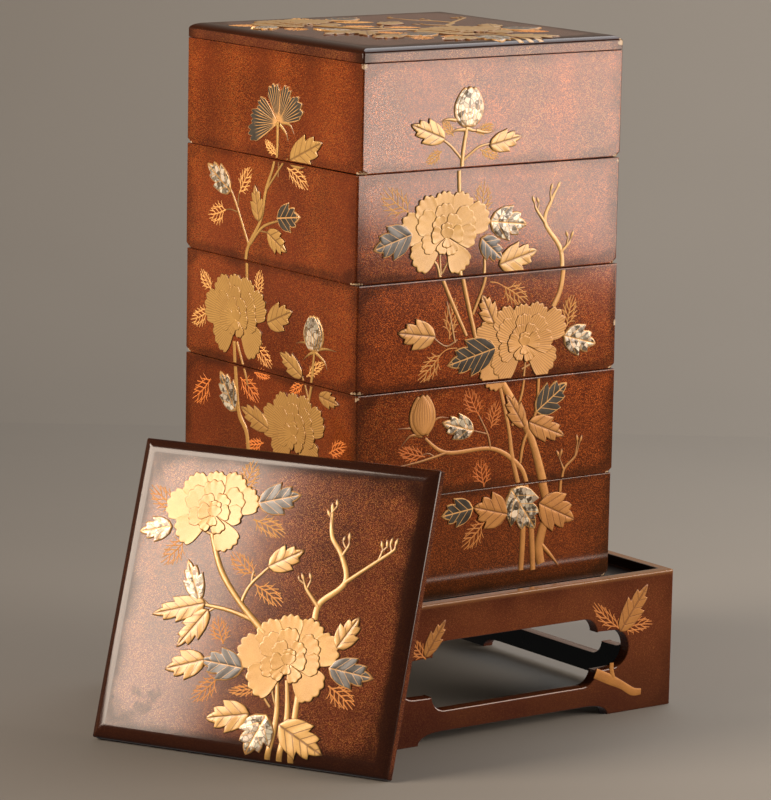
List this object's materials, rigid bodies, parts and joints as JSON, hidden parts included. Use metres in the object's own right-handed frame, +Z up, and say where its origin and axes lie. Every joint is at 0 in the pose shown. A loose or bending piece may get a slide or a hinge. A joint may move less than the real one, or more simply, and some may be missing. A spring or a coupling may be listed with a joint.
{
  "type": "tiered lacquer box",
  "caption": "Stack of lacquered wooden boxes with bevelled lids on an openwork footed stand, decorated with raised gold peonies, branches and shell inlay.",
  "frame": {"origin": "middle of the whole set's bounding box, at floor level", "axes": "+Z up; -Y out of the broad decorated front; -X out of the decorated side by which the second lid leans"},
  "size_m": [0.4132, 0.3398, 0.4899],
  "materials": {
    "box_lacquer": "gloss red-brown lacquer with fine gold-orange speckle",
    "lid_lacquer": "gloss brown speckled lacquer with soft dark bevels",
    "stand_lacquer": "satin dark brown speckled lacquer with a gold rim line",
    "black_lacquer": "gloss black lacquer on inner and lower faces",
    "gold_relief": "satin raised gold lacquer",
    "silver_relief": "dull tarnished silver lacquer",
    "shell_inlay": "glossy iridescent shell pieces"
  },
  "bodies": {
    "root": {"stand": "stand_lacquer", "tier_1": "box_lacquer", "tier_2": "box_lacquer", "tier_3": "box_lacquer", "tier_4": "box_lacquer", "tier_5": "box_lacquer", "lid": "lid_lacquer", "spare_lid": "lid_lacquer"}
  },
  "joints": []
}
